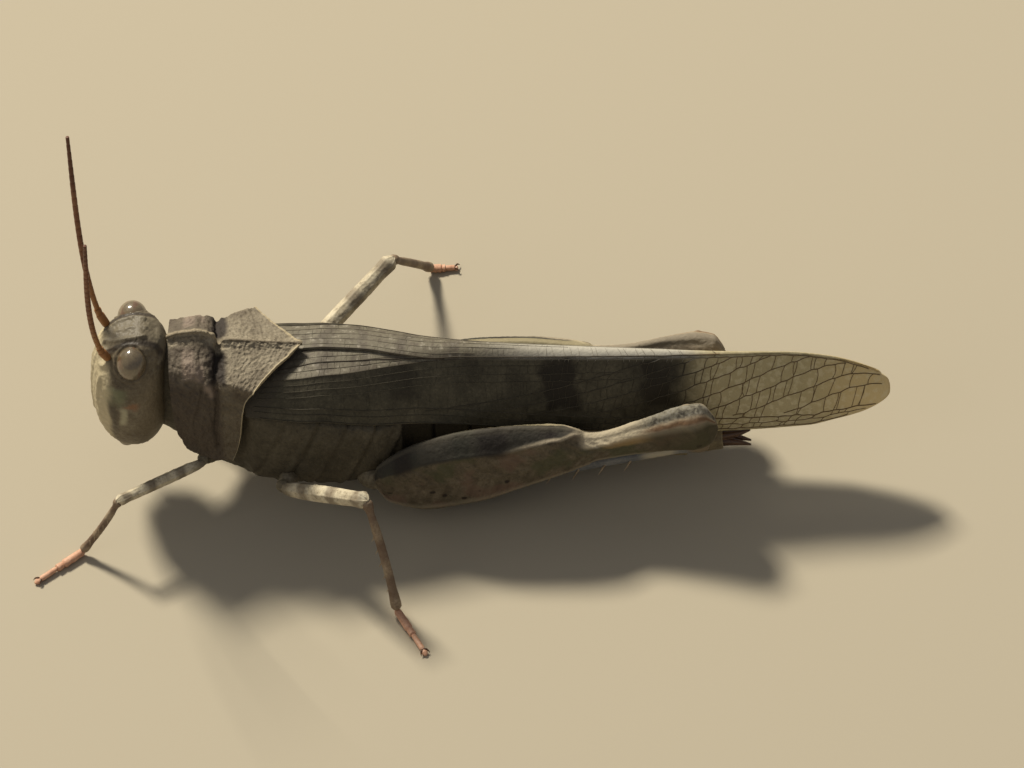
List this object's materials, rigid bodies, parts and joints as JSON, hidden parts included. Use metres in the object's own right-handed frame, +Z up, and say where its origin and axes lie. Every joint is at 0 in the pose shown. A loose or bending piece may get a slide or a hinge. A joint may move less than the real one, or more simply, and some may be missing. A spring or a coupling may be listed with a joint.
{
  "type": "blue-winged grasshopper",
  "caption": "Life-size still model of a mottled brown band-winged grasshopper at rest, with folded wings and raised antennae.",
  "frame": {"origin": "bottom centre of the whole animal's box, on the level that all six feet stand on", "axes": "+X runs back from the face towards the wing tips, +Y to the animal's right, +Z up"},
  "size_m": [0.0314, 0.0188, 0.0162],
  "materials": {
    "shell": "dull horny plate, mottled grey-brown",
    "face": "satin horny plate, olive-brown",
    "eye": "glossy",
    "feeler": "satin, orange-brown to dark red-brown",
    "wing": "dull parchment with dark bands and a net of veins",
    "belly": "satin, yellow-brown",
    "leg": "dull horny plate, mottled",
    "shin": "satin, dusky blue-grey",
    "foot": "satin, reddish"
  },
  "bodies": {
    "root": {"head": "face", "labrum": "face", "pronotum": "shell", "thorax": "shell", "abdomen": "belly", "ovipositor": "belly", "mandible_left": "face", "palps_left": "foot", "eye_left": "eye", "antenna_left": "feeler", "tegmen_left": "wing", "coxa_front_left": "shell", "femur_front_left": "leg", "tibia_front_left": "leg", "tarsus_front_left": "foot", "coxa_middle_left": "shell", "femur_middle_left": "leg", "tibia_middle_left": "leg", "tarsus_middle_left": "foot", "coxa_hind_left": "shell", "femur_hind_left": "leg", "tibia_hind_left": "shin", "tarsus_hind_left": "foot", "mandible_right": "face", "palps_right": "foot", "eye_right": "eye", "antenna_right": "feeler", "tegmen_right": "wing", "coxa_front_right": "shell", "femur_front_right": "leg", "tibia_front_right": "leg", "tarsus_front_right": "foot", "coxa_middle_right": "shell", "femur_middle_right": "leg", "tibia_middle_right": "leg", "tarsus_middle_right": "foot", "coxa_hind_right": "shell", "femur_hind_right": "leg", "tibia_hind_right": "shin", "tarsus_hind_right": "foot"}
  },
  "joints": []
}
